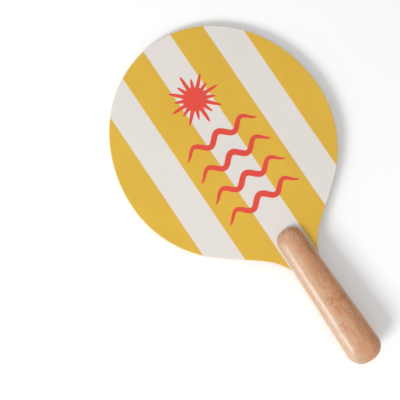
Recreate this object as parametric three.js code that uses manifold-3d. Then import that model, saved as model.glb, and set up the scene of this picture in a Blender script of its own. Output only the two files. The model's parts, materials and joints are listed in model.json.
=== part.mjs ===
// Frescobol racket: a plywood blade, lacquered and printed on both faces, whose tang runs down
// between the two glued halves of a wooden grip. Nothing on it moves.
// Millimetres. +Y runs from the butt to the crown of the head and +Z out of the front face. The
// origin lies under the middle of the racket's length, level with the back of the grip.
import * as THREE from "three";
import { mergeVertices } from "three/addons/utils/BufferGeometryUtils.js";
import Module from "manifold-3d";

const wasm = await Module();
wasm.setup();

// Driving dimensions: the blade's outline
const racketLength = 380;
const headWidth = 223;
const crownLength = 125; // from the widest line of the head up to its crown
const lowerHeadLength = 113.6; // half height of the ellipse below that line
const shoulderAngle = THREE.MathUtils.degToRad(52); // where the shoulders leave that ellipse
const shoulderPull = 39.4; // how far each shoulder follows the ellipse's tangent
const neckPull = 25.4; // how far it follows the neck's own direction at its other end
const neckAngle = THREE.MathUtils.degToRad(18.3); // between that direction and the long axis

// The blade's layers, from the middle outwards
const coreThickness = 1.7;
const crossbandThickness = 1.2;
const faceVeneerThickness = 1.2;
const groundThickness = 0.15;
const inkThickness = 0.1;

// The print. Its sun and waves are drawn for a face of one length, and fitted to the racket's own.
const yellowStripesPerSide = 2; // each with white on its inner side, up to the head's own edge
const stripeBleed = 0.85; // how far the printed pattern runs past the head on either side
const printFaceLength = 227.5; // of the face they are drawn for, from the grip's top to the crown
const sunRise = 55; // centre of the sun above the head's widest line
const sunRadius = 27; // to the tips of the long rays
const shortRayLength = 9;
const longRayLength = 15;
const sunRays = 16;
const raySlenderness = 3; // the power that thins each ray between its root and its tip
const waveCount = 4;
const topWaveRise = 11; // middle of the top wave above the head's widest line
const wavePitch = 25; // from one wave to the next, down the face
const waveLength = 28; // from crest to crest, across the face
const waveSpan = 84;
const waveHeight = 4.5; // of the line's crest above its middle
const waveStroke = 6; // across the line, where it is widest
const inkGap = 0.3; // bare strip left between any ink and the grip

// The grip
const gripLength = 152.5;
const gripBelowNeck = 111; // the part of that length past the neck, where the blade becomes the tang
const gripWidthAtNeck = 29.8;
const gripWidthAtButt = 36.4; // where the two sides would meet the end, before it is rounded
const gripHalfThickness = 10; // of each half, at its crest
const crestLandShare = 0.16; // of the grip's width, sanded flat along the crest
const crestSetback = 6; // how much longer the crest's ends are than the corners of the plan
const gripTopCornerRadius = 11.5;
const buttCornerRadius = 14.5;
const leastFlat = 1; // left at the grip's ends, on either side of the axis, by their corners
const glueThickness = 0.1;

// Points along the round stretches
const crownSteps = 20;
const flankSteps = 10;
const shoulderSteps = 12;
const cornerSteps = 8;
const stepsRoundGrip = 36;
const stepsPerRay = 8;
const stepsPerWave = 12;

const cutOverrun = 5; // how far a cutting block reaches past what it cuts

// The stripes fill the head: a white one in the middle, then yellow and white by turns
const stripeWidth = (headWidth + 2 * stripeBleed) / (4 * yellowStripesPerSide - 1);

// Places along the racket
const crownY = racketLength / 2;
const buttY = -racketLength / 2;
const headY = crownY - crownLength;
const neckY = buttY + gripBelowNeck;
const gripTopY = buttY + gripLength;

// The sun and the waves keep their shares of the face between the grip and the crown
const printScale = (crownY - gripTopY) / printFaceLength;
const printY = (rise) => crownY - (crownLength - rise) * printScale;

// Heights of the layers, from the back of the grip upwards
const backOfGround = gripHalfThickness + glueThickness;
const backOfPlywood = backOfGround + groundThickness;
const backOfCore = backOfPlywood + faceVeneerThickness + crossbandThickness;
const frontOfCore = backOfCore + coreThickness;
const frontOfCrossband = frontOfCore + crossbandThickness;
const frontOfPlywood = frontOfCrossband + faceVeneerThickness;
const frontOfGround = frontOfPlywood + groundThickness;
const frontOfYellow = frontOfGround + inkThickness;
const frontOfRed = frontOfYellow + inkThickness;
const frontOfGlue = frontOfGround + glueThickness;

// The grip's sides: straight lines that spread a little towards the butt
const gripSpread = (gripWidthAtButt - gripWidthAtNeck) / 2;
const gripSideAngle = Math.atan2(gripSpread, gripBelowNeck);
const gripHalfWidth = (y) => gripWidthAtNeck / 2 + ((neckY - y) / gripBelowNeck) * gripSpread;

// Corner radii, limited so that both ends of the grip keep a flat
const topRadius = Math.min(gripTopCornerRadius, gripHalfWidth(gripTopY) - leastFlat);
const buttRadius = Math.min(buttCornerRadius, gripHalfWidth(buttY) - leastFlat);

// Points of an arc of an ellipse, both ends included
function arc(centre, radiusX, radiusY, from, to, steps) {
  return Array.from({ length: steps + 1 }, (_, i) => {
    const angle = from + ((to - from) * i) / steps;
    return new THREE.Vector2(
      centre.x + radiusX * Math.cos(angle),
      centre.y + radiusY * Math.sin(angle),
    );
  });
}

// A closed shape from its right-hand half, which is mirrored to the left
function symmetricShape(rightHalf) {
  const offAxis = rightHalf.filter((p) => p.x > 0);
  const leftHalf = offAxis.map((p) => new THREE.Vector2(-p.x, p.y)).reverse();
  return new THREE.Shape([...rightHalf, ...leftHalf]);
}

// Right-hand corner of the grip's plan at the butt, from the end line round to the side. A
// margin grows it by that much all round.
function buttCorner(margin) {
  const y = buttY + buttRadius;
  const centre = new THREE.Vector2(gripHalfWidth(y) - buttRadius / Math.cos(gripSideAngle), y);
  const radius = buttRadius + margin;
  return arc(centre, radius, radius, -Math.PI / 2, gripSideAngle, cornerSteps);
}

// The same at the top of the grip, from the side round to the end line
function topCorner(margin) {
  const y = gripTopY - topRadius;
  const centre = new THREE.Vector2(gripHalfWidth(y) - topRadius / Math.cos(gripSideAngle), y);
  const radius = topRadius + margin;
  return arc(centre, radius, radius, gripSideAngle, Math.PI / 2, cornerSteps);
}

// Right-hand edge of the neck, shoulder and head. The head is two half ellipses, and one curve
// leads from the neck, where the blade turns into the tang, up to the lower of them.
function headAndNeck() {
  const halfWidth = headWidth / 2;
  const centre = new THREE.Vector2(0, headY);
  const flank = arc(centre, halfWidth, lowerHeadLength, -shoulderAngle, 0, flankSteps);
  const crown = arc(centre, halfWidth, crownLength, 0, Math.PI / 2, crownSteps);
  const neck = new THREE.Vector2(gripWidthAtNeck / 2, neckY);
  const alongNeck = new THREE.Vector2(Math.sin(neckAngle), Math.cos(neckAngle));
  const alongEllipse = new THREE.Vector2(
    -halfWidth * Math.sin(shoulderAngle),
    -lowerHeadLength * Math.cos(shoulderAngle),
  ).normalize();
  const shoulder = new THREE.CubicBezierCurve(
    neck,
    neck.clone().addScaledVector(alongNeck, neckPull),
    flank[0].clone().addScaledVector(alongEllipse, shoulderPull),
    flank[0],
  );
  return [
    ...shoulder.getPoints(shoulderSteps).slice(0, -1),
    ...flank,
    ...crown.slice(1, -1),
    new THREE.Vector2(0, crownY),
  ];
}

const bladeShape = symmetricShape([...buttCorner(0), ...headAndNeck()]);
const gripShape = symmetricShape([...buttCorner(0), ...topCorner(0)]);
const inkFreeShape = symmetricShape([...buttCorner(inkGap), ...topCorner(inkGap)]);

// A sun with long and short rays by turns
function sunShape() {
  const steps = sunRays * stepsPerRay;
  const root = sunRadius - longRayLength;
  const points = Array.from({ length: steps }, (_, i) => {
    const angle = (2 * Math.PI * i) / steps;
    const nearestRay = Math.round(i / stepsPerRay);
    const rayLength = nearestRay % 2 === 0 ? longRayLength : shortRayLength;
    const thinning = Math.abs(Math.cos((angle * sunRays) / 2)) ** raySlenderness;
    const radius = (root + rayLength * thinning) * printScale;
    return new THREE.Vector2(
      radius * Math.cos(angle),
      printY(sunRise) + radius * Math.sin(angle),
    );
  });
  return new THREE.Shape(points);
}

// A wave across the face, widest in the middle and running out to a point at both ends. Its
// stroke is measured square to its line.
function waveShape(middleY) {
  const steps = Math.round((waveSpan / waveLength) * stepsPerWave);
  const swing = (2 * Math.PI) / waveLength;
  const height = waveHeight * printScale;
  const widest = waveStroke * printScale;
  const edge = (side) => (_, i) => {
    const x = waveSpan * (i / steps - 1 / 2);
    const line = new THREE.Vector2(x, middleY + height * Math.cos(swing * x));
    const lean = Math.atan(height * swing * Math.sin(swing * x));
    const across = new THREE.Vector2(Math.sin(lean), Math.cos(lean));
    const stroke = widest * Math.sqrt(Math.abs(Math.cos((Math.PI * x) / waveSpan)));
    return line.addScaledVector(across, (side * stroke) / 2);
  };
  const lower = Array.from({ length: steps + 1 }, edge(-1));
  const upper = Array.from({ length: steps + 1 }, edge(1));
  return new THREE.Shape([...lower, ...upper.slice(1, -1).reverse()]);
}

// A flat layer of a plan between two heights
function layer(shape, from, to) {
  const geometry = new THREE.ExtrudeGeometry(shape, { depth: to - from, bevelEnabled: false });
  return geometry.translate(0, 0, from);
}

// A block given by two opposite corners
function block(low, high) {
  const size = high.clone().sub(low);
  const middle = low.clone().add(high).divideScalar(2);
  const geometry = new THREE.BoxGeometry(size.x, size.y, size.z);
  return geometry.translate(middle.x, middle.y, middle.z);
}

function toSolid(geometry) {
  const bare = geometry.index ? geometry.toNonIndexed() : geometry.clone();
  bare.deleteAttribute("normal");
  bare.deleteAttribute("uv");
  const merged = mergeVertices(bare);
  return new wasm.Manifold(
    new wasm.Mesh({
      numProp: 3,
      vertProperties: merged.attributes.position.array,
      triVerts: new Uint32Array(merged.index.array),
    }),
  );
}

function toGeometry(solid) {
  const mesh = solid.getMesh();
  const geometry = new THREE.BufferGeometry();
  geometry.setAttribute("position", new THREE.BufferAttribute(mesh.vertProperties, 3));
  geometry.setIndex(new THREE.BufferAttribute(mesh.triVerts, 1));
  geometry.computeVertexNormals();
  return geometry;
}

const finishes = {
  birch: { color: 0xe3cba8, roughness: 0.7 },
  crossGrain: { color: 0xcdaa7d, roughness: 0.8 },
  beech: { color: 0xd1a380, roughness: 0.5 },
  glue: { color: 0xb98f5a, roughness: 0.4 },
  whiteLacquer: { color: 0xe5ded8, roughness: 0.45 },
  yellowInk: { color: 0xe0b442, roughness: 0.45 },
  redInk: { color: 0xe44e40, roughness: 0.45 },
};

const racket = new THREE.Group();
racket.name = "frescobol_racket";

function add(name, finish, geometry) {
  const material = new THREE.MeshStandardMaterial({ ...finishes[finish], metalness: 0 });
  const mesh = new THREE.Mesh(geometry, material);
  mesh.name = name;
  racket.add(mesh);
}

// A half turn about the long axis in the middle of the core carries each piece of the front to
// its place at the back.
const middleZ = (backOfCore + frontOfCore) / 2;
const halfTurn = new THREE.Matrix4()
  .makeTranslation(0, 0, middleZ)
  .multiply(new THREE.Matrix4().makeRotationY(Math.PI))
  .multiply(new THREE.Matrix4().makeTranslation(0, 0, -middleZ));

function addToBothFaces(name, finish, geometry) {
  add(`front_${name}`, finish, geometry);
  add(`rear_${name}`, finish, geometry.clone().applyMatrix4(halfTurn));
}

// The plywood: each veneer has the whole outline, head and tang in one
function addPlywood() {
  add("core_veneer", "birch", layer(bladeShape, backOfCore, frontOfCore));
  const crossband = layer(bladeShape, frontOfCore, frontOfCrossband);
  addToBothFaces("crossband_veneer", "crossGrain", crossband);
  const faceVeneer = layer(bladeShape, frontOfCrossband, frontOfPlywood);
  addToBothFaces("face_veneer", "birch", faceVeneer);
}

// The finish of one face: a white ground all over, yellow stripes on it from the neck up, and
// the sun and waves printed last, over the ground and the stripes
function addPrint() {
  addToBothFaces("white_ground", "whiteLacquer", layer(bladeShape, frontOfPlywood, frontOfGround));
  const grip = toSolid(
    layer(inkFreeShape, frontOfGround - cutOverrun, frontOfRed + cutOverrun),
  );
  const printable = toSolid(layer(bladeShape, frontOfGround, frontOfYellow)).subtract(grip);
  const stripes = [];
  for (let n = 1; n <= yellowStripesPerSide; n++) {
    const inner = (2 * n - 1.5) * stripeWidth;
    const low = new THREE.Vector3(inner, neckY, frontOfGround - cutOverrun);
    const high = new THREE.Vector3(inner + stripeWidth, crownY, frontOfYellow + cutOverrun);
    const right = printable.intersect(toSolid(block(low, high)));
    const left = right.mirror([1, 0, 0]);
    stripes.push(right, left);
    addToBothFaces(`right_yellow_stripe_${n}`, "yellowInk", toGeometry(right));
    addToBothFaces(`left_yellow_stripe_${n}`, "yellowInk", toGeometry(left));
  }
  const redInk = (shape) => {
    const solid = toSolid(layer(shape, frontOfGround, frontOfRed)).subtract(grip);
    return toGeometry(stripes.reduce((rest, stripe) => rest.subtract(stripe), solid));
  };
  addToBothFaces("red_sun", "redInk", redInk(sunShape()));
  for (let n = 1; n <= waveCount; n++) {
    const middleY = printY(topWaveRise - (n - 1) * wavePitch);
    addToBothFaces(`red_wave_${n}`, "redInk", redInk(waveShape(middleY)));
  }
}

// The front half of the grip. A bar of unit radius is turned to the plan of the grip's ends, drawn
// out at the crest's ends and stretched to the grip's width and thickness, so that every section
// is an ellipse. All of it below the glue is then cut away, and a sliver along the crest.
function gripHalf() {
  const plan = [...buttCorner(0), ...topCorner(0)];
  const side = plan.map((p) => new THREE.Vector2(p.x / gripHalfWidth(p.y), p.y));
  const profile = [new THREE.Vector2(0, buttY), ...side, new THREE.Vector2(0, gripTopY)];
  const bar = new THREE.LatheGeometry(profile, stepsRoundGrip);
  const crestRadius = gripHalfThickness / Math.sqrt(1 - crestLandShare ** 2);
  const at = bar.attributes.position;
  for (let i = 0; i < at.count; i++) {
    const height = at.getZ(i);
    const fromButt = (at.getY(i) - buttY) / buttRadius;
    const fromTop = (gripTopY - at.getY(i)) / topRadius;
    const inward = fromButt < fromTop ? fromButt : -fromTop;
    const y = at.getY(i) + crestSetback * height ** 2 * inward;
    at.setXYZ(i, at.getX(i) * gripHalfWidth(y), y, height * crestRadius);
  }
  const reach = Math.max(gripWidthAtNeck, gripWidthAtButt);
  const low = new THREE.Vector3(-reach, buttY - cutOverrun, 0);
  const high = new THREE.Vector3(reach, gripTopY + cutOverrun, gripHalfThickness);
  const half = toSolid(bar).intersect(toSolid(block(low, high)));
  return toGeometry(half).translate(0, 0, frontOfGlue);
}

// The grip's halves, and the glue that holds each to the tang and to the foot of the blade
function addGrip() {
  addToBothFaces("grip_glue", "glue", layer(gripShape, frontOfGround, frontOfGlue));
  addToBothFaces("grip_half", "beech", gripHalf());
}

addPlywood();
addPrint();
addGrip();

export default racket;
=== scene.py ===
import json
import math

import bmesh
import bpy
from mathutils import Matrix, Vector
from mathutils.geometry import interpolate_bezier


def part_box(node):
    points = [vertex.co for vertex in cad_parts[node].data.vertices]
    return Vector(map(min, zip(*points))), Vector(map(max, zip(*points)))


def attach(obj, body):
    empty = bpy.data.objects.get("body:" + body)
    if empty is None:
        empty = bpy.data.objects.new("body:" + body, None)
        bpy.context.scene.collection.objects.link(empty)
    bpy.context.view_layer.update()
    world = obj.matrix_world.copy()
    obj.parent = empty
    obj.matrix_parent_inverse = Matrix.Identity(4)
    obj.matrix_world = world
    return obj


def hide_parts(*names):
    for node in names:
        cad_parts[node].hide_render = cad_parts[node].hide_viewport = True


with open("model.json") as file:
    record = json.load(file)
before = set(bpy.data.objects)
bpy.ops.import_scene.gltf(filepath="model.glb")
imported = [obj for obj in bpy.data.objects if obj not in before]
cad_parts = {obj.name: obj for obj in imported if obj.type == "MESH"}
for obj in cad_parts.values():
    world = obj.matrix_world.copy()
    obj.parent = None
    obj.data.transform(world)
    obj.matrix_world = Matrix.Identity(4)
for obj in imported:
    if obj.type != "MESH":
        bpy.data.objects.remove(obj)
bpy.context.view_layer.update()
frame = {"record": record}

MM = 0.001

# The blade's outline, from the butt of the tang up to the crown of the head
CROWN_Y = 190 * MM
HEAD_Y = 65 * MM  # the widest line of the head
NECK_Y = -79 * MM  # where the blade turns into the tang
GRIP_TOP_Y = -37.5 * MM
BUTT_Y = -190 * MM
HEAD_HALF_WIDTH = 111.5 * MM
LOWER_HEAD_LENGTH = 113.6 * MM
SHOULDER_ANGLE = math.radians(52)
SHOULDER_PULL = 39.4 * MM
NECK_PULL = 25.4 * MM
NECK_ANGLE = math.radians(18.3)
GRIP_HALF_WIDTH_AT_NECK = 14.9 * MM
GRIP_HALF_WIDTH_AT_BUTT = 18.2 * MM
TOP_CORNER = 11.5 * MM
BUTT_CORNER = 14.5 * MM
EDGE_EASE = 0.7 * MM  # rounding of the blade's rim

# The grip's section
CREST_HEIGHT = 10 * MM
CREST_LAND_SHARE = 0.16
CREST_SETBACK = 6 * MM

# The print
SUN_Y = 120 * MM
SUN_RADIUS = 27 * MM
SUN_RAYS = 16
SHORT_RAY = 9 * MM
LONG_RAY = 15 * MM
TOP_WAVE_Y = 76 * MM
WAVE_PITCH = 25 * MM
WAVE_SPAN = 84 * MM
WAVE_LENGTH = 28 * MM
WAVE_HEIGHT = 4.5 * MM
WAVE_STROKE = 6 * MM  # where it is widest
WAVE_COUNT = 4
RAY_SLENDERNESS = 3  # the power that thins each ray between its root and its tip

# Steps along the round stretches
HEAD_STEPS = 71
SHOULDER_STEPS = 32
PLAN_CORNER_STEPS = 14
GRIP_CORNER_STEPS = 18
GRIP_TURN_STEPS = 64
RIM_STEPS = 4
STEPS_PER_RAY = 24
WAVE_STEPS = 144

# Tolerances in metres
FINE = 1e-7  # from a mirror or a cut to what lies on it
CLOSE = 1e-6  # between vertices that are one
COARSE = 1e-5  # between a wave's edges at its ends, and from the neck's line to what lies on it
SAW_MARGIN = 0.05 * MM  # what sticks out of a node's box by less than this isn't sawn off

LEVEL = 0.9999  # rise of the normal of a face that counts as level
SMOOTH_BELOW = math.radians(40)  # faces that meet at less than this are shaded as one

GRIP_SPREAD = (GRIP_HALF_WIDTH_AT_BUTT - GRIP_HALF_WIDTH_AT_NECK) / (NECK_Y - BUTT_Y)
GRIP_SIDE_ANGLE = math.atan(GRIP_SPREAD)
MIDDLE_Z = (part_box("core_veneer")[0].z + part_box("core_veneer")[1].z) / 2


# ---- Shapes -----------------------------------------------------------------------------


def grip_half_width(y):
    return GRIP_HALF_WIDTH_AT_NECK + (NECK_Y - y) * GRIP_SPREAD


def sweep(mesh, centre, radius, start, end, steps):
    """A vertex swung round a centre into an arc; gives its vertices in order"""
    before = len(mesh.verts)
    first = Vector((math.cos(start), math.sin(start), 0)) * radius
    point = bmesh.ops.create_vert(mesh, co=centre + first)["vert"]
    turn = {"cent": centre, "axis": (0, 0, 1), "angle": end - start, "steps": steps}
    bmesh.ops.spin(mesh, geom=point, **turn)
    mesh.verts.ensure_lookup_table()
    return mesh.verts[before:]


def grip_corner(mesh, end_y, radius, steps=PLAN_CORNER_STEPS):
    """Right-hand corner of the grip's plan, at its butt or at its top"""
    inward = 1 if end_y == BUTT_Y else -1
    y = end_y + inward * radius
    centre = Vector((grip_half_width(y) - radius / math.cos(GRIP_SIDE_ANGLE), y, 0))
    if end_y == BUTT_Y:
        return sweep(mesh, centre, radius, -math.pi / 2, GRIP_SIDE_ANGLE, steps)
    return sweep(mesh, centre, radius, GRIP_SIDE_ANGLE, math.pi / 2, steps)


def string(mesh, points):
    """Joins vertices one after the other, where they aren't joined yet"""
    for a, b in zip(points, points[1:]):
        if not mesh.edges.get((a, b)):
            mesh.edges.new((a, b))


def mirrored_face(mesh):
    """Mirrors half an outline across the long axis and fills it"""
    half = mesh.verts[:] + mesh.edges[:]
    bmesh.ops.mirror(mesh, geom=half, matrix=Matrix(), merge_dist=FINE, axis="X")
    bmesh.ops.remove_doubles(mesh, verts=mesh.verts[:], dist=CLOSE)
    bmesh.ops.edgeloop_fill(mesh, edges=mesh.edges[:])


def thicken(mesh, low, high):
    """Stands flat faces up between two heights, with all faces pointing out"""
    bmesh.ops.translate(mesh, verts=mesh.verts[:], vec=(0, 0, low))
    grown = bmesh.ops.extrude_face_region(mesh, geom=mesh.faces[:], use_keep_orig=True)
    top = [item for item in grown["geom"] if isinstance(item, bmesh.types.BMVert)]
    bmesh.ops.translate(mesh, verts=top, vec=(0, 0, high - low))
    bmesh.ops.recalc_face_normals(mesh, faces=mesh.faces[:])


def blade_blank():
    """The whole blade as one solid, with its rim eased from the neck up"""
    mesh = bmesh.new()
    head_centre = Vector((0, HEAD_Y, 0))
    head = sweep(mesh, Vector(), 1, -SHOULDER_ANGLE, math.pi / 2, HEAD_STEPS)
    for point in head:
        length = CROWN_Y - HEAD_Y if point.co.y > 0 else LOWER_HEAD_LENGTH
        point.co = head_centre + Vector((point.co.x * HEAD_HALF_WIDTH, point.co.y * length, 0))
    neck = Vector((GRIP_HALF_WIDTH_AT_NECK, NECK_Y, 0))
    along_neck = Vector((math.sin(NECK_ANGLE), math.cos(NECK_ANGLE), 0))
    along_head = (head[0].co - head[1].co).normalized()
    pulls = (neck + along_neck * NECK_PULL, head[0].co + along_head * SHOULDER_PULL)
    curve = interpolate_bezier(neck, *pulls, head[0].co, SHOULDER_STEPS)
    shoulder = [mesh.verts.new(point) for point in curve[:-1]]
    corner = grip_corner(mesh, BUTT_Y, BUTT_CORNER)
    end = mesh.verts.new((0, BUTT_Y, 0))
    string(mesh, [end, *corner, *shoulder, *head])
    head[-1].co.x = 0
    mirrored_face(mesh)
    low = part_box("rear_left_yellow_stripe_1")[0].z
    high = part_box("front_left_yellow_stripe_1")[1].z
    thicken(mesh, low, high)
    rim = [
        edge
        for edge in mesh.edges
        if abs(edge.verts[0].co.z - edge.verts[1].co.z) < CLOSE
        and min(vert.co.y for vert in edge.verts) > NECK_Y - COARSE
    ]
    ease = {"offset": EDGE_EASE, "segments": RIM_STEPS, "profile": 0.5}
    bmesh.ops.bevel(mesh, geom=rim, affect="EDGES", material=-1, **ease)
    return mesh


def slice_off(mesh, point, outward):
    """Removes all that lies beyond a plane and closes the cut"""
    whole = mesh.verts[:] + mesh.edges[:] + mesh.faces[:]
    plane = {"plane_co": point, "plane_no": outward, "clear_outer": True}
    cut = bmesh.ops.bisect_plane(mesh, geom=whole, dist=FINE, **plane)["geom_cut"]
    open_edges = [item for item in cut if isinstance(item, bmesh.types.BMEdge) and item.is_boundary]
    if open_edges:
        bmesh.ops.edgeloop_fill(mesh, edges=open_edges)


def sawn_from(blank, node):
    """The part of the blank that lies in a node's own box"""
    mesh = blank.copy()
    low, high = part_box(node)
    for axis in (2, 0, 1):
        outward = Vector([float(i == axis) for i in range(3)])
        if min(vert.co[axis] for vert in mesh.verts) < low[axis] - SAW_MARGIN:
            slice_off(mesh, low, -outward)
        if max(vert.co[axis] for vert in mesh.verts) > high[axis] + SAW_MARGIN:
            slice_off(mesh, high, outward)
    return mesh


def sun_print():
    """A disc with long and short tapering rays by turns"""
    mesh = bmesh.new()
    segments = SUN_RAYS * STEPS_PER_RAY
    bmesh.ops.create_circle(mesh, cap_ends=True, segments=segments, radius=1)
    for point in mesh.verts:
        angle = math.atan2(point.co.y, point.co.x)
        nearest = round(angle / (2 * math.pi / SUN_RAYS))
        ray = LONG_RAY if nearest % 2 == 0 else SHORT_RAY
        thinning = abs(math.cos(angle * SUN_RAYS / 2)) ** RAY_SLENDERNESS
        point.co *= SUN_RADIUS - LONG_RAY + ray * thinning
        point.co.y += SUN_Y
    return mesh


def wave_print(middle_y):
    """A wavy line across the face, widest in the middle and running out to a point at both ends"""
    mesh = bmesh.new()
    bmesh.ops.create_grid(mesh, x_segments=WAVE_STEPS, y_segments=1, size=0.5)
    swing = 2 * math.pi / WAVE_LENGTH
    for point in mesh.verts:
        x = point.co.x * WAVE_SPAN
        side = 1 if point.co.y > 0 else -1
        stroke = WAVE_STROKE * math.sqrt(abs(math.cos(math.pi * x / WAVE_SPAN)))
        line = Vector((x, middle_y + WAVE_HEIGHT * math.cos(swing * x), 0))
        lean = math.atan(WAVE_HEIGHT * swing * math.sin(swing * x))
        point.co = line + Vector((math.sin(lean), math.cos(lean), 0)) * side * stroke / 2
    bmesh.ops.remove_doubles(mesh, verts=mesh.verts[:], dist=COARSE)
    return mesh


def glue_film():
    """The glue under one half of the grip, over the whole of its plan"""
    mesh = bmesh.new()
    butt = grip_corner(mesh, BUTT_Y, BUTT_CORNER)
    top = grip_corner(mesh, GRIP_TOP_Y, TOP_CORNER)
    ends = [mesh.verts.new((0, y, 0)) for y in (BUTT_Y, GRIP_TOP_Y)]
    string(mesh, [ends[0], *butt, *top, ends[1]])
    mirrored_face(mesh)
    return mesh


def grip_half():
    """Half of the grip: its plan's edge swung over the long axis, then drawn to its section"""
    mesh = bmesh.new()
    butt = grip_corner(mesh, BUTT_Y, BUTT_CORNER, GRIP_CORNER_STEPS)
    top = grip_corner(mesh, GRIP_TOP_Y, TOP_CORNER, GRIP_CORNER_STEPS)
    ends = [mesh.verts.new((0, y, 0)) for y in (BUTT_Y, GRIP_TOP_Y)]
    for point in butt + top:
        point.co.x /= grip_half_width(point.co.y)
    string(mesh, [ends[0], *butt, *top, ends[1]])
    edge = mesh.verts[:] + mesh.edges[:]
    turn = {"cent": (0, 0, 0), "axis": (0, 1, 0), "angle": -math.pi, "steps": GRIP_TURN_STEPS}
    bmesh.ops.spin(mesh, geom=edge, **turn)
    bmesh.ops.remove_doubles(mesh, verts=mesh.verts[:], dist=CLOSE)
    crest = CREST_HEIGHT / math.sqrt(1 - CREST_LAND_SHARE**2)
    for point in mesh.verts:
        x, y, height = point.co
        from_butt = (y - BUTT_Y) / BUTT_CORNER
        from_top = (GRIP_TOP_Y - y) / TOP_CORNER
        inward = from_butt if from_butt < from_top else -from_top
        y += CREST_SETBACK * height**2 * inward
        point.co = (x * grip_half_width(y), y, min(height * crest, CREST_HEIGHT))
    bmesh.ops.holes_fill(mesh, edges=mesh.edges[:], sides=0)
    bmesh.ops.recalc_face_normals(mesh, faces=mesh.faces[:])
    bmesh.ops.translate(mesh, verts=mesh.verts[:], vec=(0, 0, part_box("front_grip_half")[0].z))
    return mesh


# ---- Finishes ---------------------------------------------------------------------------


def node(tree, kind, inputs=None, **settings):
    """Adds a shader node. Each input is a value, or an output that feeds it."""
    made = tree.nodes.new("ShaderNode" + kind)
    for name, value in settings.items():
        setattr(made, name, value)
    for name, value in (inputs or {}).items():
        if isinstance(value, bpy.types.NodeSocket):
            tree.links.new(value, made.inputs[name])
        else:
            made.inputs[name].default_value = value
    return made


def cells(tree, size, shift):
    """Object coordinates counted in cells of a size in millimetres, so that a pattern's own
    scale is 1. A shift moves the points by another output's value, in metres."""
    points = node(tree, "TexCoord").outputs["Object"]
    if shift is not None:
        points = node(tree, "VectorMath", {0: points, 1: shift}).outputs[0]
    mapping = {"Vector": points, "Scale": [1 / (side * MM) for side in size]}
    return node(tree, "Mapping", mapping, vector_type="POINT").outputs[0]


def grain(tree, size, detail=3.0, rough=0.5, bent=0.0, shift=None):
    """Soft streaks or clouds, one to a cell"""
    pattern = {
        "Vector": cells(tree, size, shift),
        "Scale": 1.0,
        "Detail": detail,
        "Roughness": rough,
        "Distortion": bent,
    }
    return node(tree, "TexNoise", pattern, noise_dimensions="3D").outputs["Fac"]


def between(tree, value, low, high, to_low=0.0, to_high=1.0):
    """Spreads a value's range over another one, without running past it"""
    span = {
        "Value": value,
        "From Min": low,
        "From Max": high,
        "To Min": to_low,
        "To Max": to_high,
    }
    return node(tree, "MapRange", span, interpolation_type="SMOOTHSTEP").outputs[0]


def distance_from(tree, place, turn, reach):
    """How far a point is from a place in millimetres, counted in the half axes of an ellipsoid
    that is turned about Z"""
    points = node(tree, "TexCoord").outputs["Object"]
    ellipsoid = {
        "Vector": points,
        "Location": [part * MM for part in place],
        "Rotation": (0, 0, turn),
        "Scale": [part * MM for part in reach],
    }
    local = node(tree, "Mapping", ellipsoid, vector_type="TEXTURE").outputs[0]
    return node(tree, "VectorMath", {0: local}, operation="LENGTH").outputs["Value"]


def blend(tree, amount, under, over):
    """Lays one colour over another by an amount"""
    inputs = {0: amount, 6: under, 7: over}
    return node(tree, "Mix", inputs, data_type="RGBA", blend_type="MIX").outputs[2]


def times(tree, a, b):
    return node(tree, "Math", {0: a, 1: b}, operation="MULTIPLY").outputs[0]


def larger(tree, a, b):
    return node(tree, "Math", {0: a, 1: b}, operation="MAXIMUM").outputs[0]


def tint(colour, factor=1.0):
    return tuple(min(part * factor, 1.0) for part in colour) + (1.0,)


def relief(tree, height, strength, depth, under=None):
    """Bumps that rise by a depth in millimetres"""
    inputs = {"Height": height, "Strength": strength, "Distance": depth * MM}
    if under is not None:
        inputs["Normal"] = under
    return node(tree, "Bump", inputs).outputs["Normal"]


def new_finish(name):
    material = bpy.data.materials.new(name)
    material.use_nodes = True
    return material, material.node_tree, material.node_tree.nodes["Principled BSDF"]


def wire(tree, shader, **outputs):
    """Feeds outputs into the shader's sockets of the same name"""
    for name, output in outputs.items():
        tree.links.new(output, shader.inputs[name.replace("_", " ")])


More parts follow.
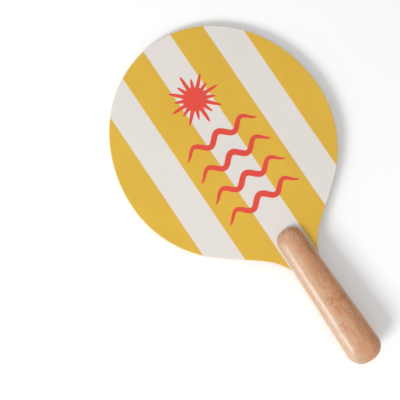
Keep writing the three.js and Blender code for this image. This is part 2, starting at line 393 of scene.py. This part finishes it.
def varnished_hardwood():
    """Fine-pored pinkish wood under satin varnish, with painted light along its sides: a paler,
    greyer painted highlight along its lit left side and a ruddier painted shade colour along its
    shaded right side;
    with long fibres, short dark pores, reddish patches, clouds and flecks, and a few darker marks
    on the front half"""
    material, tree, shader = new_finish("varnished_hardwood")
    sway = node(
        tree,
        "VectorMath",
        {0: grain(tree, (30, 110, 30), 2.0), "Scale": 6 * MM},
        operation="SCALE",
    ).outputs[0]
    fibres = grain(tree, (0.7, 26, 0.7), 4.0, 0.6, shift=sway)
    streaks = grain(tree, (3.4, 70, 3.4), 2.0, 0.5, shift=sway)
    patches = grain(tree, (9, 24, 9), 2.0)
    clouds = grain(tree, (5, 10, 5), 4.0, 0.6, 1.2)
    flecks = grain(tree, (1.3, 2.6, 1.3), 2.0, shift=sway)
    pores = between(tree, grain(tree, (0.55, 4.2, 0.55), 2.0, 0.6, shift=sway), 0.58, 0.70)
    pale, middle, ruddy = (0.672, 0.390, 0.220), (0.592, 0.310, 0.154), (0.470, 0.180, 0.066)
    patch_red, fleck_red = (0.600, 0.255, 0.105), (0.540, 0.190, 0.065)
    mark_brown, pore_brown = (0.470, 0.170, 0.056), (0.245, 0.108, 0.056)
    colour = blend(tree, between(tree, streaks, 0.25, 0.80), tint(pale), tint(middle))
    patches = between(tree, patches, 0.40, 0.64, 0, 0.75)
    colour = blend(tree, patches, colour, tint(patch_red))
    # Painted light along the grip's sides, each band fading between two distances from its own
    # side: the two paler,
    #     # greyer bands are a painted highlight on the lit left side, the ruddier band is painted
    #     shade colour on the right
    side_x, middle_y, middle_z, endless = 17, -113, 13.5, 1000
    for side, near, far, depth, shade in (
        (-side_x, 7, 16, 0.90, (0.445, 0.320, 0.208)),
        (-side_x, 0, 7, 0.70, (0.510, 0.400, 0.312)),
        (side_x, 6, 14, 0.85, (0.670, 0.315, 0.155)),
    ):
        distance_to_painted_side = distance_from(tree, (side, middle_y, middle_z), 0, (1, endless, endless))
        colour = blend(tree, between(tree, distance_to_painted_side, near, far, depth, 0), colour, tint(shade))
    colour = blend(tree, between(tree, clouds, 0.44, 0.70, 0, 0.60), colour, tint(ruddy))
    flecks = between(tree, flecks, 0.52, 0.70, 0, 0.50)
    colour = blend(tree, flecks, colour, tint(fleck_red))
    colour = blend(tree, between(tree, fibres, 0.38, 0.72, 0, 0.28), colour, tint(ruddy, 1.06))
    # Darker marks: each one's place, its turn about Z, its half axes and its depth
    for place, turn, reach, depth in (
        ((8.5, -122.5, 22), 0.1, (9, 3.4, 9), 1.0),
        ((-1.2, -117.5, 26), 2.25, (8, 3.2, 6), 1.0),
        ((-3.2, -121, 26), 0.2, (3.4, 2, 6), 0.9),
        ((-5.4, -147, 26), 1.45, (9, 1.7, 6), 0.9),
        ((10.5, -63, 20), 1.6, (22, 5.5, 9), 0.85),
        ((8.5, -175, 22), 1.4, (10, 5, 9), 0.6),
    ):
        mark = between(tree, distance_from(tree, place, turn, reach), 0.2, 1.2, depth, 0)
        mark = times(tree, mark, between(tree, grain(tree, (2.2, 3.5, 2.2)), 0.3, 0.6, 0.3, 1))
        colour = blend(tree, mark, colour, tint(mark_brown))
    colour = blend(tree, times(tree, pores, 0.42), colour, tint(pore_brown))
    sheen = between(tree, grain(tree, (6, 14, 6)), 0.25, 0.75, 0.50, 0.60)
    rough = node(tree, "Math", {0: sheen, 1: times(tree, pores, 0.14)}, operation="ADD").outputs[0]
    bumps = relief(tree, fibres, 0.20, 0.05)
    bumps = relief(tree, pores, -0.30, 0.06, bumps)
    varnish = relief(tree, grain(tree, (3, 9, 3), 3.0), 0.20, 0.04)
    varnish = relief(tree, pores, -0.30, 0.04, varnish)
    wire(tree, shader, Base_Color=colour, Roughness=rough, Normal=bumps, Coat_Normal=varnish)
    shader.inputs["Specular IOR Level"].default_value = 0.82
    shader.inputs["Coat Weight"].default_value = 0.24
    shader.inputs["Coat Roughness"].default_value = 0.17
    return material


def sanded_veneer(name, pale, dark, along):
    """Bare veneer whose grain runs along X or along Y"""
    material, tree, shader = new_finish(name)
    long_way = (0.28, 9, 0.28) if along == "Y" else (9, 0.28, 0.28)
    wide_way = (1.8, 40, 1.8) if along == "Y" else (40, 1.8, 1.8)
    pore_way = (0.2, 2, 0.2) if along == "Y" else (2, 0.2, 0.2)
    fibres = grain(tree, long_way, 3.0, 0.6)
    bands = grain(tree, wide_way, 2.0)
    pores = between(tree, grain(tree, pore_way, 2.0), 0.60, 0.72)
    colour = blend(tree, between(tree, fibres, 0.3, 0.7, 0, 0.8), tint(pale), tint(dark))
    colour = blend(tree, between(tree, bands, 0.45, 0.75, 0, 0.4), colour, tint(dark, 0.85))
    colour = blend(tree, times(tree, pores, 0.5), colour, tint(dark, 0.5))
    rough = between(tree, fibres, 0.3, 0.7, 0.62, 0.78)
    bumps = relief(tree, fibres, 0.5, 0.06)
    wire(tree, shader, Base_Color=colour, Roughness=rough, Normal=bumps)
    return material


def brushed_coat(name, colour, variation, sheen):
    """A thin coat of lacquer or ink on sanded plywood: faint clouds in its colour, the veneer's
    grain just felt through it, fine orange peel, and a few rubbed places"""
    material, tree, shader = new_finish(name)
    clouds = grain(tree, (26, 44, 26), 3.0)
    veneer = grain(tree, (0.9, 34, 8), 3.0, 0.6)
    specks = grain(tree, (0.45, 0.45, 8), 2.0)
    rubs = grain(tree, (16, 20, 16), 4.0, 0.65, 0.8)
    light, dark, darker, darkest = (tint(colour, 1 + n * variation) for n in (1, -1, -2, -3))
    shade = blend(tree, between(tree, clouds, 0.32, 0.68), light, dark)
    shade = blend(tree, between(tree, veneer, 0.5, 0.8, 0, 0.35), shade, darker)
    shade = blend(tree, between(tree, specks, 0.62, 0.74, 0, 0.25), shade, darkest)
    rubbed = between(tree, rubs, 0.42, 0.70, sheen, sheen + 0.12)
    bumps = relief(tree, veneer, 0.12, 0.05)
    bumps = relief(tree, specks, 0.10, 0.03, bumps)
    wire(tree, shader, Base_Color=shade, Roughness=rubbed, Normal=bumps)
    shader.inputs["Specular IOR Level"].default_value = 0.25
    return material


def set_glue():
    """A thin brown line of hardened glue"""
    material, tree, shader = new_finish("set_glue")
    beads = grain(tree, (1.2, 1.6, 1.2), 3.0)
    pale, dark = (0.485, 0.275, 0.102), (0.34, 0.18, 0.07)
    colour = blend(tree, between(tree, beads, 0.3, 0.7), tint(pale), tint(dark))
    rough = between(tree, beads, 0.3, 0.7, 0.35, 0.55)
    bumps = relief(tree, beads, 0.4, 0.05)
    wire(tree, shader, Base_Color=colour, Roughness=rough, Normal=bumps)
    return material


finishes = {
    "plywood_veneer": sanded_veneer("pale_veneer", (0.80, 0.63, 0.42), (0.66, 0.47, 0.27), "Y"),
    "plywood_crossband": sanded_veneer("cross_veneer", (0.64, 0.44, 0.24), (0.47, 0.29, 0.14), "X"),
    "grip_wood": varnished_hardwood(),
    "wood_glue": set_glue(),
    "white_lacquer": brushed_coat("white_lacquer", (0.783, 0.730, 0.687), 0.012, 0.42),
    "yellow_ink": brushed_coat("yellow_ink", (0.745, 0.456, 0.054), 0.025, 0.44),
    "red_ink": brushed_coat("red_ink", (0.775, 0.076, 0.051), 0.03, 0.44),
}
slots = {part["node"]: part["material_slot"] for part in frame["record"]["subparts"]}


# ---- Pieces -----------------------------------------------------------------------------


def settle(mesh, name, replaced):
    """Makes a piece of a mesh and puts it in place of its node"""
    for edge in mesh.edges:
        level = any(abs(face.normal.z) > LEVEL for face in edge.link_faces)
        edge.smooth = not level and edge.calc_face_angle(math.pi) < SMOOTH_BELOW
    for face in mesh.faces:
        face.smooth = True
    data = bpy.data.meshes.new(name)
    mesh.to_mesh(data)
    mesh.free()
    data.materials.append(finishes[slots[replaced]])
    piece = bpy.data.objects.new(name, data)
    bpy.context.collection.objects.link(piece)
    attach(piece, "root")
    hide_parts(replaced)


def settle_both(mesh, name, replaced):
    """The same on both faces: the rear piece is the front one after half a turn about the long
    axis in the middle of the core"""
    rear = mesh.copy()
    half_turn = Matrix.Rotation(math.pi, 3, "Y")
    bmesh.ops.rotate(rear, verts=rear.verts[:], cent=(0, 0, MIDDLE_Z), matrix=half_turn)
    settle(mesh, f"front_{name}", f"front_{replaced}")
    settle(rear, f"rear_{name}", f"rear_{replaced}")


def make_blade():
    """Five plies, a white coat on each face, and the yellow stripes, all sawn from one blank"""
    blank = blade_blank()
    settle(sawn_from(blank, "core_veneer"), "core_ply", "core_veneer")
    for name, replaced in (
        ("cross_ply", "crossband_veneer"),
        ("face_ply", "face_veneer"),
        ("white_coat", "white_ground"),
        ("right_inner_stripe", "right_yellow_stripe_1"),
        ("left_inner_stripe", "left_yellow_stripe_1"),
        ("right_outer_stripe", "right_yellow_stripe_2"),
        ("left_outer_stripe", "left_yellow_stripe_2"),
    ):
        settle_both(sawn_from(blank, f"front_{replaced}"), name, replaced)
    blank.free()


def make_print():
    """The red sun, and the red waves below it"""
    low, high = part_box("front_red_sun")
    sun = sun_print()
    thicken(sun, low.z, high.z)
    settle_both(sun, "sun_print", "red_sun")
    for number in range(1, WAVE_COUNT + 1):
        wave = wave_print(TOP_WAVE_Y - (number - 1) * WAVE_PITCH)
        thicken(wave, low.z, high.z)
        settle_both(wave, f"wave_print_{number}", f"red_wave_{number}")


def make_grip():
    """Both halves of the grip, with the glue under them"""
    low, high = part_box("front_grip_glue")
    film = glue_film()
    thicken(film, low.z, high.z)
    settle_both(film, "glue_line", "grip_glue")
    settle_both(grip_half(), "varnished_grip", "grip_half")


make_blade()
make_print()
make_grip()


# ---- Table, light and camera ------------------------------------------------------------


def seen_or_mirrored(tree):
    """1 for what the camera sees, straight, in a reflection or through glass; 0 for the rest"""
    path = node(tree, "LightPath").outputs
    seen_or_glossy = larger(tree, path["Is Camera Ray"], path["Is Glossy Ray"])
    return larger(tree, seen_or_glossy, path["Is Transmission Ray"])


def lay_table():
    """A white table top that keeps the racket's shadow and is plain white further out, and that
    a view from below looks through. The racket lies on the upper end of its rear grip half and
    on the crown of its head, so the table slopes a little against the racket's own axes."""
    half_side = 4
    rest_y, crown_y, clearance = -54.3 * MM, CROWN_Y - EDGE_EASE, 0.1 * MM
    white_from, white_to, reach = 0.35, 0.85, 1000
    mesh = bmesh.new()
    bmesh.ops.create_grid(mesh, x_segments=1, y_segments=1, size=half_side)
    slope = math.atan2(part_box("rear_white_ground")[0].z, crown_y - rest_y)
    drop = -math.tan(slope) * rest_y - clearance
    bmesh.ops.rotate(mesh, verts=mesh.verts[:], matrix=Matrix.Rotation(slope, 3, "X"))
    bmesh.ops.translate(mesh, verts=mesh.verts[:], vec=(0, 0, drop))
    data = bpy.data.meshes.new("table_top")
    mesh.to_mesh(data)
    mesh.free()
    material, tree, shader = new_finish("table_white")
    shader.inputs["Base Color"].default_value = (0.94, 0.94, 0.94, 1)
    shader.inputs["Roughness"].default_value = 0.9
    shader.inputs["Specular IOR Level"].default_value = 0.0
    shown = seen_or_mirrored(tree)
    shader.inputs["Emission Color"].default_value = (1, 1, 1, 1)
    tree.links.new(times(tree, shown, 0.085), shader.inputs["Emission Strength"])
    plain = node(tree, "Emission").outputs[0]
    metres = distance_from(tree, (0, 0, 0), 0, (reach, reach, reach))
    away = between(tree, metres, white_from, white_to)
    cover = {0: times(tree, shown, away), 1: shader.outputs[0], 2: plain}
    upper_side = node(tree, "MixShader", cover).outputs[0]
    from_below = node(tree, "NewGeometry").outputs["Backfacing"]
    see_through = node(tree, "BsdfTransparent").outputs[0]
    surface = node(tree, "MixShader", {0: from_below, 1: upper_side, 2: see_through}).outputs[0]
    tree.links.new(surface, tree.nodes["Material Output"].inputs["Surface"])
    data.materials.append(material)
    table = bpy.data.objects.new("table_top", data)
    bpy.context.collection.objects.link(table)


def light_room():
    """White surroundings: soft light that falls off to the right, and plain white where the
    camera looks"""
    world = bpy.data.worlds.new("white_room")
    bpy.context.scene.world = world
    world.use_nodes = True
    tree = world.node_tree
    path = node(tree, "LightPath").outputs
    view = {0: node(tree, "TexCoord").outputs["Generated"], 1: (-1, 0, 0)}
    left = node(tree, "VectorMath", view, operation="DOT_PRODUCT").outputs["Value"]
    soft, mirrored = (
        node(tree, "MapRange", {"Value": left, 1: -1.0, 2: 1.0, 3: dim, 4: bright}).outputs[0]
        for dim, bright in ((0.53, 0.64), (0.0, 1.7))
    )
    seen = larger(tree, path["Is Camera Ray"], path["Is Transmission Ray"])
    level = node(tree, "Mix", {0: path["Is Glossy Ray"], 2: soft, 3: mirrored}).outputs[0]
    level = node(tree, "Mix", {0: seen, 2: level, 3: 1.0}).outputs[0]
    background = tree.nodes["Background"]
    background.inputs["Color"].default_value = (0.985, 0.995, 1, 1)
    tree.links.new(level, background.inputs["Strength"])


def hang_lamp(name, toward, distance, size, power):
    """A flat soft lamp that faces the racket from a direction"""
    data = bpy.data.lights.new(name, "AREA")
    data.shape = "RECTANGLE"
    data.size, data.size_y = size
    data.energy = power
    toward = Vector(toward).normalized()
    target = Vector((0, 0, 15 * MM))
    lamp = bpy.data.objects.new(name, data)
    lamp.location = target + toward * distance
    lamp.rotation_euler = toward.to_track_quat("Z", "Y").to_euler()
    bpy.context.collection.objects.link(lamp)


def set_camera():
    """Nearly straight above the racket, with its crown to the upper left"""
    data = bpy.data.cameras.new("camera")
    data.lens, data.sensor_width = 63, 36
    data.clip_start, data.clip_end = 0.01, 20
    right = Vector((0.8283, -0.5594, 0.0293)).normalized()
    back = Vector((-0.0625, -0.0403, 0.9972))
    back = (back - right * back.dot(right)).normalized()
    place = Matrix((right, back.cross(right), back)).transposed().to_4x4()
    place.translation = Vector((-95.3, 5.9, 706.7)) * MM
    camera = bpy.data.objects.new("camera", data)
    camera.matrix_world = place
    bpy.context.collection.objects.link(camera)
    bpy.context.scene.camera = camera


lay_table()
light_room()
hang_lamp("softbox", (-0.76, -0.21, 0.57), 2.3, (0.80, 0.75), 36)
hang_lamp("side_panel", (-0.93, -0.10, 0.32), 2.3, (1.9, 1.3), 5)
set_camera()
bpy.context.scene.view_settings.view_transform = "Standard"
